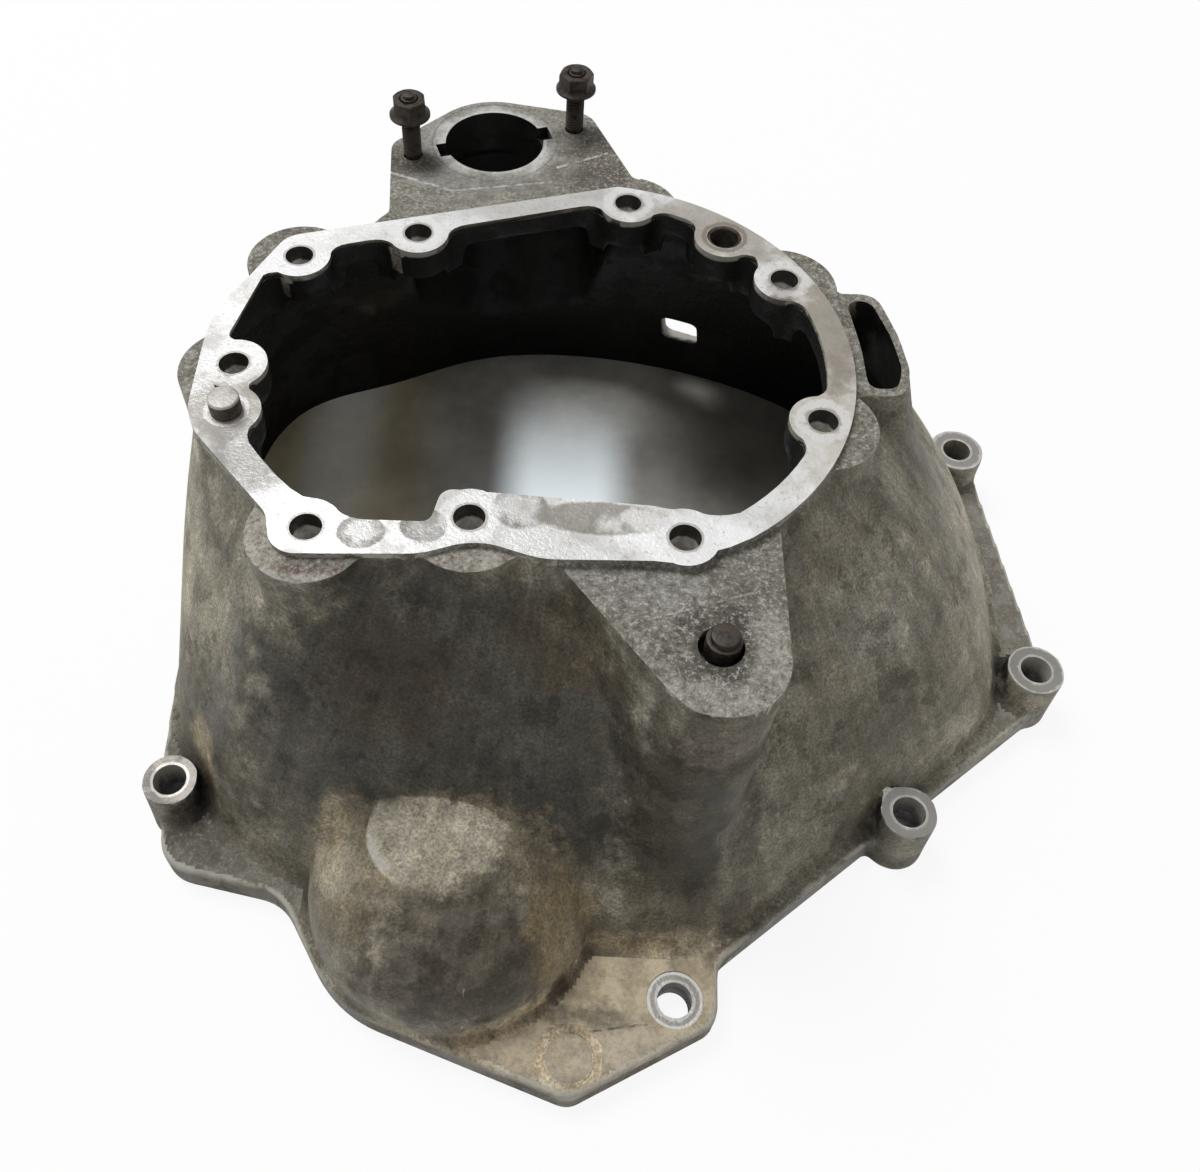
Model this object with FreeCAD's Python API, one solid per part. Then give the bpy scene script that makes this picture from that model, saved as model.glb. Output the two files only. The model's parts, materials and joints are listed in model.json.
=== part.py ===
"""Transmission bell housing: one aluminium casting with its studs, nuts and dowels.

The housing lies on its engine face, as it does on a bench. Z is the input shaft's
axis, z = 0 is the engine face and the gearbox face looks up. Sizes are millimetres.
"""
import FreeCAD, Part
import math
import os

# Heights above the engine face
gearbox_face = 145.0        # machined face that takes the gearbox
flange_thickness = 11.0
lobe_drop = 2.5             # the cast lobes stop this far under the machined face
clutch_pad_drop = 3.0       # cast pad round the clutch cylinder's bore
pivot_pad_drop = 4.0        # triangular pad with the fork pivot
slot_rim_drop = 4.0         # rim of the vent slot
plate_thickness = 14.0      # engine flange
lug_height = 28.0           # tall bolt lugs of the engine flange

# Walls
wall = 6.0                  # cast wall, measured level
foot_wall = 9.0             # wall where it meets the engine face
pad_thickness = 10.0        # roof of the clutch and fork pivot pads
clearance = 0.05            # between a steel piece and its hole, on the radius
past = 1.0                  # a cutter runs this far past the face it opens

# Gearbox flange
flange_radius = 101.5       # round part, about the shaft
opening_radius = 91.0
front_boss = 11.6           # bulge of the flange's edge round the first bolt
bolt_circle = 91.6          # four of the nine bolts lie on it
bolt_circle_start = -67.1   # degrees
bolt_circle_step = 48.8
bolt_hole = 5.5             # radius, M10 bolts
bolt_boss = 12.3            # radius of the scallop round each bolt
bolt_boss_depth = 15.0
lobe_radius = 21.0          # bulge that leaves room for the bolt's head
outer_bolts = [(-36.9, -79.9), (-90.8, -87.0), (-128.8, -13.1), (-114.3, 48.0), (-68.7, 65.1)]

# Bell
section_count = 72          # points on each level section of the bell
bell_levels = (8.0, 45.0, 90.0, 142.0)
flange_overhang = 2.0       # the machined flange stands proud of the bell's wall
side_swell = 0.11           # how far the side walls swell past a straight line

# Engine flange
back_radius = 166.0
bolt_lugs = [               # x, y, radius at the foot, radius at the top
    (-155.3, -126.4, 12.6, 10.8),
    (137.0, -126.0, 12.8, 11.2),
    (200.8, -57.3, 13.6, 12.0),
    (186.5, 66.6, 13.6, 12.8),
]
flat_lugs = [(44.2, -198.8), (141.0, 118.0), (18.0, 171.0), (-125.0, 130.0)]
lug_edge = 11.2             # radius of the engine flange's edge round the right lugs
lug_hole = 6.5              # radius, M12 bolts
flat_lug_radius = 14.0
spot_face = 10.6
spot_face_depth = 0.6
cast_disc = (5.5, -221.5, 9.3, 1.2)     # plain raised disc: x, y, radius, height

# Dome over the starter's nose
dome = (-41.0, -161.5)
dome_radius = 54.5
dome_top_radius = 23.0
dome_height = 55.0
dome_shoulder = (0.74, 0.67)            # shares of the dome's width and height

# Clutch cylinder's pad, with its bore and two studs
bore = (-42.0, 132.6)
bore_radius = 21.5
bore_rim = 30.0             # radius of the pad round the bore
stud_spacing = 73.5
stud_angle = 19.1           # degrees, the line through both studs
stud_radius = 4.0           # M8
stud_depth = 11.0
stud_boss = 8.0
boss_cover = 4.0            # metal under a blind hole
stud_length = 40.0
nut_gap = 19.2              # the nuts were left this far above the pad
nut_flange_radius = 8.6
nut_flange_height = 2.4
nut_across_flats = 13.0
nut_height = 7.8
nut_crown = 2.2             # height of the bevel round the nut's top
nut_rim = 0.9               # height of the flange at its edge
notch_width = 9.0
notch_depth = 4.0
hood_lean = (6.5, -22.0, -112.0)        # the pad's walls lean in towards the bell

# Fork pivot's pad
pivot_nose = (46.8, -127.5)
pivot_nose_radius = 22.0
pivot_right = 68.8          # straight right edge
pivot = (47.3, -122.5)
pivot_collar_radius = 6.0
pivot_tip_radius = 4.65
pivot_tip_height = 2.4
pivot_proud = 2.0           # collar above the pad
pivot_depth = 18.0
pivot_recess = 8.5
pivot_recess_depth = 6.0
pivot_boss = 13.0
pivot_lean = (-8.0, -16.0, -127.0)      # the column under the pad leans out towards its foot

# Vent slot on the right
slot_lean = (14.0, -2.0, -40.0)

# Dowels of the gearbox face
pin = (-127.0, -36.5)
pin_radius = 5.7
pin_shank = 6.0             # thicker part, pressed in flush with the face
pin_proud = 6.8
pin_depth = 10.0
pin_chamfer = 1.0
sleeve = (56.0, 71.0)
sleeve_radius = 7.0
sleeve_bore = 5.8
sleeve_length = 10.0
sleeve_sunk = 0.6
ease = 0.5                  # small bevel on the sleeve and the fork pivot

# Window in the back wall
window_angle = 69.0         # degrees
window_height = 34.0        # centre above the engine face
window_width = 19.0
window_tall = 20.0
window_corner = 4.0
window_reach = 50.0         # the cutter starts this far inside the wall

tiny = 0.001


def point(x, y, z=0.0):
    return FreeCAD.Vector(x, y, z)


def polar(radius, degrees, z=0.0, centre=(0.0, 0.0)):
    angle = math.radians(degrees)
    return point(centre[0] + radius * math.cos(angle), centre[1] + radius * math.sin(angle), z)


def corner_arc(before, corner, after, radius):
    """Start, middle and end of the arc that rounds a corner."""
    back = (before - corner).normalize()
    ahead = (after - corner).normalize()
    half = back.getAngle(ahead) / 2
    reach = radius / math.tan(half)
    inward = (back + ahead).normalize()
    middle = corner + inward * (radius / math.sin(half) - radius)
    return corner + back * reach, middle, corner + ahead * reach


def outline(*items):
    """Closed wire at z = 0 from corners (x, y, radius) and from arcs
    (centre x, centre y, radius, start, end), the angles in degrees."""
    def ends(item):
        if len(item) == 3:
            return point(item[0], item[1]), point(item[0], item[1])
        x, y, radius, start, end = item
        return polar(radius, start, 0, (x, y)), polar(radius, end, 0, (x, y))

    pieces = []
    for index, item in enumerate(items):
        before = ends(items[index - 1])[1]
        after = ends(items[(index + 1) % len(items)])[0]
        if len(item) == 5:
            x, y, radius, start, end = item
            middle = polar(radius, (start + end) / 2, 0, (x, y))
            pieces.append((ends(item)[0], middle, ends(item)[1]))
        elif item[2] > 0:
            pieces.append(corner_arc(before, ends(item)[0], after, item[2]))
        else:
            pieces.append((ends(item)[0], None, ends(item)[0]))
    edges = []
    for index, (start, middle, end) in enumerate(pieces):
        last = pieces[index - 1][2]
        if last.distanceToPoint(start) > tiny:
            edges.append(Part.LineSegment(last, start).toShape())
        if middle is not None:
            edges.append(Part.Arc(start, middle, end).toShape())
    return Part.Wire(edges)


def prism(wire, bottom, top):
    face = Part.Face(wire)
    face.translate(point(0, 0, bottom))
    return face.extrude(point(0, 0, top - bottom))


def leaning_prism(wire, top, lean, drop=0.0):
    """A prism that hangs from z = top along lean, and starts drop lower on the same line."""
    face = Part.Face(wire)
    share = drop / -lean[2]
    face.translate(point(lean[0] * share, lean[1] * share, top - drop))
    return face.extrude(point(lean[0], lean[1], lean[2]) * (1 - share))


def inset(wire, distance):
    return Part.Face(wire).makeOffset2D(-distance).OuterWire


def cylinder(centre, radius, bottom, top):
    return Part.makeCylinder(radius, top - bottom, point(centre[0], centre[1], bottom))


def cone(centre, bottom_radius, top_radius, bottom, top):
    return Part.makeCone(bottom_radius, top_radius, top - bottom, point(centre[0], centre[1], bottom))


def turned(centre, profile):
    """Solid turned about a vertical line. A profile item is (radius, z), or a pair of
    such points for an arc's middle and end."""
    edges = []
    last = None
    for item in profile + profile[:1]:
        if isinstance(item[0], tuple):
            middle, end = [point(r, 0, z) for r, z in item]
            edges.append(Part.Arc(last, middle, end).toShape())
        else:
            end = point(item[0], 0, item[1])
            if last is not None:
                edges.append(Part.LineSegment(last, end).toShape())
        last = end
    solid = Part.Face(Part.Wire(edges)).revolve(point(0, 0, 0), point(0, 0, 1), 360)
    solid.translate(point(centre[0], centre[1], 0))
    return solid


# Outlines

circle_bolts = []
for number in range(4):
    spot = polar(bolt_circle, bolt_circle_start + number * bolt_circle_step)
    circle_bolts.append((spot.x, spot.y))


def flange_outline():
    """Edge of the machined gearbox face: a round right side and a squarer left one."""
    x, y = circle_bolts[0]
    return outline(
        (0, 0, flange_radius, -55, 83),
        (-121, 59.5, 12), (-142.5, 10, 60), (-141, -42, 30), (-105, -82, 10),
        (-101, -98.5, 10), (-52, -96, 30), (-34, -89, 25), (-12, -96, 30), (25, -94.6, 8),
        (x, y, front_boss, -113, -24), (50.5, -87.5, 4))


def opening_outline():
    """Opening inside the gearbox face, before the bolt bosses reach into it."""
    return outline(
        (0, 0, opening_radius, -57, 84),
        (-124, 47.5, 10), (-134, 0, 30), (-134, -28, 20), (-97, -77, 8), (-89, -83.2, 5),
        (-50, -82.5, 4), (-47, -68, 5), (26, -71.5, 4), (40, -76.3, 5))


def foot_outline():
    """Line where the bell's wall meets the top of the engine flange."""
    points = [
        (193, -12), (190, 30), (176, 68), (150, 98), (105, 130), (55, 149), (0, 157),
        (-60, 149), (-105, 127), (-145, 106), (-162, 78), (-167, 35), (-168, -10),
        (-167, -60), (-161, -98), (-149, -119), (-131, -143), (-108, -158), (-60, -172),
        (-15, -181), (25, -184.5),
        (58, -179), (84, -159.5), (108, -140.5), (132, -121.5), (160, -99), (180, -79),
        (191, -48),
    ]
    curve = Part.BSplineCurve()
    curve.interpolate(Points=[point(x, y) for x, y in points], PeriodicFlag=True)
    return Part.Wire(curve.toShape())


def engine_outline():
    """Edge of the engine flange. The straight right front edge runs from the low
    lug to the far right one."""
    return outline(
        (0, 0, back_radius, 62, 116), (-156, 116, 22), (-175, 70, 40), (-173, -15, 60),
        (-165.5, -108, 20), (-156.5, -156, 16), (-108, -165, 20), (-81.7, -206.1, 50),
        (6, -235.6, 8), (60, -206.5, 9), (61, -184.5, 9),
        (bolt_lugs[2][0], bolt_lugs[2][1], lug_edge, -52, 6.5),
        (bolt_lugs[3][0], bolt_lugs[3][1], lug_edge, 6.5, 110),
        (172, 84, 8), (159, 128, 18), (112, 138, 30))


def pad_outline():
    """Edge of the clutch cylinder's pad, closed inside the bell."""
    return outline(
        (18.5, 112, 0), (-0.5, 156, 10), (bore[0], bore[1], bore_rim, 78, 135),
        (-87, 128, 8), (-82.5, 80, 0), (-70, 40, 0), (20, 60, 0))


def pivot_outline():
    """Edge of the triangular fork pivot pad, closed inside the bell."""
    return outline(
        (-8, -50, 0), (-8, -92.5, 0),
        (pivot_nose[0], pivot_nose[1], pivot_nose_radius, 217, 360),
        (pivot_right, -50, 0))


def slot_rim_outline():
    return outline(
        (95, -12, 0), (120.5, -10.5, 7), (123.7, 3, 20), (121.5, 22, 40), (115.5, 45, 8), (90, 44, 0))


def slot_outline():
    return outline(
        (106.3, -7.5, 4), (117.6, -6.8, 4), (120.4, 4, 15), (118.3, 21, 40), (112.6, 41, 5),
        (102.8, 40.3, 4), (106, 14, 40))


# The bell

def polar_profile(wire):
    """Angle and radius of points all round an outline, in order of angle."""
    turn = 2 * math.pi
    points = wire.discretize(Number=900)
    profile = sorted((math.atan2(p.y, p.x) % turn, math.hypot(p.x, p.y)) for p in points)
    first, last = profile[0], profile[-1]
    return [(last[0] - turn, last[1])] + profile + [(first[0] + turn, first[1])]


def radius_at(profile, angle):
    for (a, r), (b, s) in zip(profile, profile[1:]):
        if a <= angle <= b:
            return r if b - a < 1e-9 else r + (s - r) * (angle - a) / (b - a)


top_profile = polar_profile(flange_outline())
foot_profile = polar_profile(foot_outline())


def bell_radius(angle, z):
    """Outer radius of the bell's wall: the flange's outline at the top, the foot's at the
    engine flange, and nearly straight lines between them."""
    top = radius_at(top_profile, angle) - flange_overhang
    foot = radius_at(foot_profile, angle)
    share = (gearbox_face - lobe_drop - z) / (gearbox_face - lobe_drop - plate_thickness)
    swell = side_swell * abs(math.cos(angle)) * 4 * share * (1 - share)
    return top + (foot - top) * (share + swell)


def bell_section(z, depth):
    """Level section of the bell, depth inside its outer wall."""
    points = []
    for index in range(section_count):
        angle = 2 * math.pi * index / section_count
        radius = bell_radius(angle, max(z, plate_thickness)) - depth
        points.append(point(radius * math.cos(angle), radius * math.sin(angle), z))
    curve = Part.BSplineCurve()
    curve.interpolate(Points=points, PeriodicFlag=True)
    return Part.Wire(curve.toShape())


def bell():
    return Part.makeLoft([bell_section(z, 0.0) for z in bell_levels], True, False)


def bell_cavity():
    ceiling = gearbox_face - flange_thickness
    levels = [(-past, foot_wall), (plate_thickness, foot_wall), (40.0, wall), (75.0, wall),
              (110.0, wall), (ceiling, wall)]
    return Part.makeLoft([bell_section(z, depth) for z, depth in levels], True, False)


# Places worked out from the sizes above

gearbox_bolts = circle_bolts + outer_bolts
clutch_pad = gearbox_face - clutch_pad_drop
pivot_pad = gearbox_face - pivot_pad_drop
slot_rim = gearbox_face - slot_rim_drop
flange_bottom = gearbox_face - flange_thickness
studs = []
for side in (-1, 1):
    spot = polar(side * stud_spacing / 2, stud_angle, 0, bore)
    studs.append((spot.x, spot.y))


def dome_solid(depth, bottom):
    """The dome over the starter's nose, depth inside its outer wall."""
    radius = dome_radius - depth
    top_radius = dome_top_radius - depth / 2
    top = dome_height - depth
    rise = top - plate_thickness
    shoulder = (top_radius + (radius - top_radius) * dome_shoulder[0],
                plate_thickness + rise * dome_shoulder[1])
    return turned(dome, [(0, bottom), (radius, bottom), (radius, plate_thickness),
                         (shoulder, (top_radius, top)), (0, top)])


def engine_flange():
    flange = prism(engine_outline(), 0, plate_thickness)
    solids = []
    for x, y, foot, top in bolt_lugs:
        solids.append(cone((x, y), foot, top, 0, lug_height))
    for spot in flat_lugs:
        solids.append(cylinder(spot, flat_lug_radius, 0, plate_thickness))
    x, y, radius, height = cast_disc
    solids.append(cylinder((x, y), radius, plate_thickness / 2, plate_thickness + height))
    return flange.multiFuse(solids)


def housing():
    lobes = [cylinder(spot, lobe_radius, plate_thickness, gearbox_face - lobe_drop)
             for spot in gearbox_bolts if spot != circle_bolts[0]]
    outside = [
        engine_flange(),
        dome_solid(0.0, plate_thickness / 2),
        prism(flange_outline(), flange_bottom, gearbox_face),
        leaning_prism(pad_outline(), clutch_pad, hood_lean),
        leaning_prism(pivot_outline(), pivot_pad, pivot_lean),
        leaning_prism(slot_rim_outline(), slot_rim, slot_lean),
    ] + lobes
    body = bell().multiFuse(outside)

    pockets = [cylinder(spot, lobe_radius - wall, plate_thickness, flange_bottom)
               for spot in gearbox_bolts]
    inside = [
        bell_cavity(),
        dome_solid(wall, -past),
        prism(opening_outline(), flange_bottom - past, gearbox_face + past),
        leaning_prism(inset(pad_outline(), wall), clutch_pad, hood_lean, pad_thickness),
        leaning_prism(inset(pivot_outline(), wall), pivot_pad, pivot_lean, pad_thickness),
    ] + pockets
    body = body.cut(inside[0].multiFuse(inside[1:]))

    boss_bottom = gearbox_face - bolt_boss_depth
    inner_bosses = [cylinder(spot, bolt_boss, boss_bottom, gearbox_face)
                    for spot in gearbox_bolts + [pin, sleeve]]
    stud_bosses = [cylinder(spot, stud_boss, clutch_pad - stud_depth - boss_cover, clutch_pad)
                   for spot in studs]
    flange_block = prism(flange_outline(), boss_bottom - past, gearbox_face)
    bosses = inner_bosses[0].multiFuse(inner_bosses[1:]).common(flange_block)
    pivot_block = cylinder(pivot, pivot_boss, pivot_pad - pivot_depth - boss_cover, pivot_pad)
    body = body.multiFuse([bosses, pivot_block] + stud_bosses)

    notch = Part.makeBox(2 * (bore_radius + notch_depth), notch_width, pad_thickness + 2 * past)
    notch.translate(point(-bore_radius - notch_depth, -notch_width / 2, 0))
    notch.rotate(point(0, 0, 0), point(0, 0, 1), stud_angle)
    notch.translate(point(bore[0], bore[1], clutch_pad - pad_thickness - past))
    cuts = [
        cylinder(bore, bore_radius, clutch_pad - 2 * pad_thickness, clutch_pad + past),
        notch,
        leaning_prism(slot_outline(), slot_rim + past, slot_lean),
        cylinder(pin, pin_shank + clearance, gearbox_face - pin_depth, gearbox_face + past),
        cylinder(sleeve, sleeve_radius + clearance,
                 gearbox_face - sleeve_sunk - sleeve_length, gearbox_face + past),
        cylinder(sleeve, sleeve_bore, boss_bottom - past, gearbox_face + past),
        cylinder(pivot, pivot_collar_radius + clearance, pivot_pad - pivot_depth, pivot_pad + past),
        cylinder(pivot, pivot_recess, pivot_pad - pivot_recess_depth, pivot_pad + past),
        window(),
    ]
    for spot in gearbox_bolts:
        cuts.append(cylinder(spot, bolt_hole, boss_bottom - past, gearbox_face + past))
    for spot in studs:
        cuts.append(cylinder(spot, stud_radius + clearance, clutch_pad - stud_depth, clutch_pad + past))
    for x, y, foot, top in bolt_lugs:
        cuts.append(cylinder((x, y), lug_hole, -past, lug_height + past))
    for spot in flat_lugs:
        cuts.append(cylinder(spot, lug_hole, -past, plate_thickness + past))
        cuts.append(cylinder(spot, spot_face, plate_thickness - spot_face_depth, plate_thickness + past))
    return body.cut(cuts[0].multiFuse(cuts[1:])).removeSplitter()


def window():
    """Cutter for the rounded window in the back wall."""
    half = window_width / 2
    rise = window_tall / 2
    wire = outline((-half, -rise, window_corner), (half, -rise, window_corner),
                   (half, rise, window_corner), (-half, rise, window_corner))
    cutter = Part.Face(wire).extrude(point(0, 0, window_reach))
    cutter.rotate(point(0, 0, 0), point(1, 0, 0), -90)
    cutter.translate(point(0, back_radius - window_reach, window_height))
    cutter.rotate(point(0, 0, 0), point(0, 0, 1), window_angle - 90)
    return cutter


def stud(spot):
    bottom = clutch_pad - stud_depth
    top = bottom + stud_length
    chamfer = stud_radius / 5
    return turned(spot, [(0, bottom), (stud_radius, bottom), (stud_radius, top - chamfer),
                         (stud_radius - chamfer, top), (0, top)])


def flange_nut(spot, turn):
    bottom = clutch_pad + nut_gap
    corner = nut_across_flats / math.sqrt(3)
    corners = [polar(corner, turn + 60 * k) for k in range(6)]
    hexagon = prism(Part.makePolygon(corners + corners[:1]), 0, nut_height)
    crown = turned((0, 0), [(0, 0), (corner + 1, 0), (corner + 1, nut_height - nut_crown),
                            (nut_across_flats / 2 - 0.3, nut_height), (0, nut_height)])
    skirt = turned((0, 0), [(0, 0), (nut_flange_radius, 0), (nut_flange_radius, nut_rim),
                            (corner - 0.4, nut_flange_height), (0, nut_flange_height)])
    nut = hexagon.common(crown).fuse(skirt)
    nut = nut.cut(cylinder((0, 0), stud_radius + clearance, -past, nut_height + past)).removeSplitter()
    nut.translate(point(spot[0], spot[1], bottom))
    return nut


def locating_pin():
    bottom = gearbox_face - pin_depth
    top = gearbox_face + pin_proud
    return turned(pin, [(0, bottom), (pin_shank, bottom), (pin_shank, gearbox_face),
                        (pin_radius, gearbox_face), (pin_radius, top - pin_chamfer),
                        (pin_radius - pin_chamfer, top), (0, top)])


def dowel_sleeve():
    top = gearbox_face - sleeve_sunk
    bottom = top - sleeve_length
    return turned(sleeve, [(sleeve_bore, bottom), (sleeve_radius, bottom),
                           (sleeve_radius, top - ease), (sleeve_radius - ease, top),
                           (sleeve_bore, top)])


def fork_pivot():
    bottom = pivot_pad - pivot_depth
    shoulder = pivot_pad + pivot_proud
    top = shoulder + pivot_tip_height
    return turned(pivot, [(0, bottom), (pivot_collar_radius, bottom),
                          (pivot_collar_radius, shoulder - ease),
                          (pivot_collar_radius - ease, shoulder), (pivot_tip_radius, shoulder),
                          (pivot_tip_radius, top - ease), (pivot_tip_radius - ease, top), (0, top)])


def write(name, shape):
    shape.exportStep("parts/" + name + ".step")
    box = shape.BoundBox
    print(name, "valid", shape.isValid(), "solids", len(shape.Solids), "faces", len(shape.Faces),
          "volume %.0f" % shape.Volume,
          "x %.1f..%.1f y %.1f..%.1f z %.1f..%.1f" % (box.XMin, box.XMax, box.YMin, box.YMax,
                                                     box.ZMin, box.ZMax))


def main():
    os.makedirs("parts", exist_ok=True)
    write("bell_housing", housing())
    for name, spot, turn in (("left", studs[0], 10.0), ("right", studs[1], 38.0)):
        write("clutch_stud_" + name, stud(spot))
        write("clutch_nut_" + name, flange_nut(spot, turn))
    write("locating_pin", locating_pin())
    write("dowel_sleeve", dowel_sleeve())
    write("fork_pivot", fork_pivot())


main()
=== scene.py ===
# %% [markdown]
# # A used transmission bell housing
#
# The housing is one aluminium casting. It came out of a mould, so its walls flow into each
# other with soft blends, and only the faces that touch other parts were machined flat and
# bright. We start from the solid model, which has the right places and sizes but sharp inner
# corners, and treat it the way a foundry does: first the rough shape, then the machining
# cuts, then the dirt of many years.

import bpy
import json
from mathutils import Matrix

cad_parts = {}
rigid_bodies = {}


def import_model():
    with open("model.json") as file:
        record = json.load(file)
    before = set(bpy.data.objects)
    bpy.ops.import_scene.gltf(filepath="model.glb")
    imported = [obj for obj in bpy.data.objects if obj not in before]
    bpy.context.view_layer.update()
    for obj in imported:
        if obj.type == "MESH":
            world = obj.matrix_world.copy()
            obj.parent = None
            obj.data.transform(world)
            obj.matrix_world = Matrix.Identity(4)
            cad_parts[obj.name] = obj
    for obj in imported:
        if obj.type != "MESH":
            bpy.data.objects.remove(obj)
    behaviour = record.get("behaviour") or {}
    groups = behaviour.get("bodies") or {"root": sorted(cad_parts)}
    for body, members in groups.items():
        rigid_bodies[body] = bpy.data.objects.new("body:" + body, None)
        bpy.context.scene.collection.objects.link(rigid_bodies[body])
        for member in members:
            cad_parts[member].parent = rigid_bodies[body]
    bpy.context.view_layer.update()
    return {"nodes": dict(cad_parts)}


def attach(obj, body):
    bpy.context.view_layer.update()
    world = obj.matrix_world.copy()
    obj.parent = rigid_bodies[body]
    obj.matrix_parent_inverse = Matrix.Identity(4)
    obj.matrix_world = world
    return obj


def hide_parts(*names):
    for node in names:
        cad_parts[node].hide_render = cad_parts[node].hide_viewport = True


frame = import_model()

import bpy
import json
import math
import numpy as np
from mathutils import Matrix, Vector
from mathutils.bvhtree import BVHTree

# %% [markdown]
# Everything in this file is in metres, but a casting is easier to think about in
# millimetres, so `MM` turns one into the other. The heights are those of the solid model.

# %% Units, heights and places
MM = 0.001
GEARBOX_FACE = 145 * MM
LOBE_TOP = 142.5 * MM
CLUTCH_PAD = 142 * MM
PIVOT_PAD = 141 * MM
PLATE_TOP = 14 * MM
LUG_TOP = 28 * MM
FACE_BOLTS = [(35.64, -84.38), (87.0, -28.7), (78.7, 46.75), (16.7, 90.1), (-36.9, -79.9),
              (-90.8, -87.0), (-128.8, -13.1), (-114.3, 48.0), (-68.7, 65.1)]
TALL_LUGS = [(-155.3, -126.4), (137.0, -126.0), (200.8, -57.3), (186.5, 66.6)]
FLAT_LUGS = [(44.2, -198.8), (141.0, 118.0), (18.0, 171.0), (-125.0, 130.0)]
PIN = (-127.0, -36.5)
SLEEVE = (56.0, 71.0)
BORE = (-42.0, 132.6)
STUDS = [(-76.73, 120.57), (-7.27, 144.63)]
PIVOT = (47.3, -122.5)
DOME = (-41.0, -161.5)
CAST_DISC = (5.5, -221.5)
WINDOW_ANGLE = 69  # degrees round the shaft, in the rear wall

# %% [markdown]
# ## Helpers
#
# Operators in Blender work on what is selected, exactly as the buttons do. These few helpers
# keep the selection honest: one object at a time, and faces picked by their place.

# %% Selecting and applying
def only(obj):
    """Select this object alone and make it active."""
    if bpy.context.mode != "OBJECT":
        bpy.ops.object.mode_set(mode="OBJECT")
    bpy.ops.object.select_all(action="DESELECT")
    obj.select_set(True)
    bpy.context.view_layer.objects.active = obj


def apply_modifier(obj, kind, **settings):
    """Add a modifier with these settings and apply it at once."""
    only(obj)
    modifier = obj.modifiers.new(kind.title(), kind)
    for name, value in settings.items():
        setattr(modifier, name, value)
    bpy.ops.object.modifier_apply(modifier=modifier.name)


def apply_place(obj):
    """Move the object's place, turn and scale into its mesh."""
    only(obj)
    bpy.ops.object.transform_apply(location=True, rotation=True, scale=True)
    return obj


def edit_all(obj, operator, **settings):
    """Run one edit-mode operator on the whole mesh."""
    only(obj)
    bpy.ops.object.mode_set(mode="EDIT")
    bpy.ops.mesh.select_all(action="SELECT")
    operator(**settings)
    bpy.ops.object.mode_set(mode="OBJECT")


def pick_faces(obj, test):
    """Select the faces whose centre and normal pass the test, and enter edit mode."""
    only(obj)
    mesh = obj.data
    for part in (mesh.vertices, mesh.edges, mesh.polygons):
        part.foreach_set("select", [False] * len(part))
    for face in mesh.polygons:
        face.select = test(face.center, face.normal)
    bpy.ops.object.mode_set(mode="EDIT")
    bpy.ops.mesh.select_mode(type="FACE")


# %% Simple tools to cut and fill with
def polar(radius, degrees, height):
    """A place by its distance and angle from the shaft and its height, in millimetres."""
    angle = math.radians(degrees)
    return (radius * math.cos(angle) * MM, radius * math.sin(angle) * MM, height * MM)


def disc(centre, radius, bottom, top, sides=64):
    """An upright cylinder between two heights. The centre is in millimetres."""
    bpy.ops.mesh.primitive_cylinder_add(
        vertices=sides, radius=radius, depth=top - bottom,
        location=(centre[0] * MM, centre[1] * MM, (top + bottom) / 2))
    return apply_place(bpy.context.object)


def block(low, high):
    """A box between two corners."""
    bpy.ops.mesh.primitive_cube_add(size=1, location=[(a + b) / 2 for a, b in zip(low, high)])
    bpy.context.object.scale = [b - a for a, b in zip(low, high)]
    return apply_place(bpy.context.object)


def cone(centre, height, depth, foot, tip):
    """An upright cone without its point, with its middle at this height."""
    bpy.ops.mesh.primitive_cone_add(vertices=64, radius1=foot, radius2=tip, depth=depth,
                                    location=(centre[0] * MM, centre[1] * MM, height))
    return apply_place(bpy.context.object)


def prism(corners, bottom, top):
    """An upright bar with these corners, given in order."""
    bpy.ops.mesh.primitive_circle_add(vertices=len(corners), fill_type="NGON")
    bar = bpy.context.object
    for vertex, corner in zip(bar.data.vertices, corners):
        vertex.co = (corner[0], corner[1], bottom)
    edit_all(bar, bpy.ops.mesh.extrude_region_move, TRANSFORM_OT_translate={"value": (0, 0, top - bottom)})
    edit_all(bar, bpy.ops.mesh.normals_make_consistent, inside=False)
    return bar


def join(objects):
    """Join several objects into the first."""
    only(objects[0])
    for obj in objects:
        obj.select_set(True)
    bpy.ops.object.join()
    return objects[0]


def carve(body, tool, operation="DIFFERENCE"):
    """Cut the tool out of the body, or weld it on, and delete the tool."""
    apply_modifier(body, "BOOLEAN", operation=operation, solver="MANIFOLD", object=tool)
    bpy.data.objects.remove(tool, do_unlink=True)


# %% [markdown]
# ## Camera
#
# The camera stands above and in front of the housing and looks down at about 55 degrees.
# It is set before any modelling, so that every test render can be laid over the photograph.

# %% Camera
LOOK_DOWN = 55.16  # degrees below the horizon
ROLL = 2.594  # degrees, because the camera was held slightly crooked
camera_data = bpy.data.cameras.new("camera")
camera = bpy.data.objects.new("camera", camera_data)
bpy.context.collection.objects.link(camera)
camera_data.sensor_width = 36
camera_data.lens = 35.37
camera_data.shift_x = 0.0417
place = Matrix.Translation((-8.79 * MM, -323.98 * MM, 457.36 * MM))
tilt = Matrix.Rotation(math.radians(90 - LOOK_DOWN), 4, "X")
roll = Matrix.Rotation(math.radians(ROLL), 4, "Z")
camera.matrix_world = place @ tilt @ roll
bpy.context.scene.camera = camera

# %% [markdown]
# ## The rough casting
#
# A rough part leaves the mould a little too thick wherever a machine will cut it later. We do
# the same. The flat tops are raised, every hole is plugged, and the whole is remeshed into
# one even skin. Now it can be smoothed like clay, which gives the soft blends of a casting,
# and afterwards the faces and holes are cut crisp.

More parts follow.
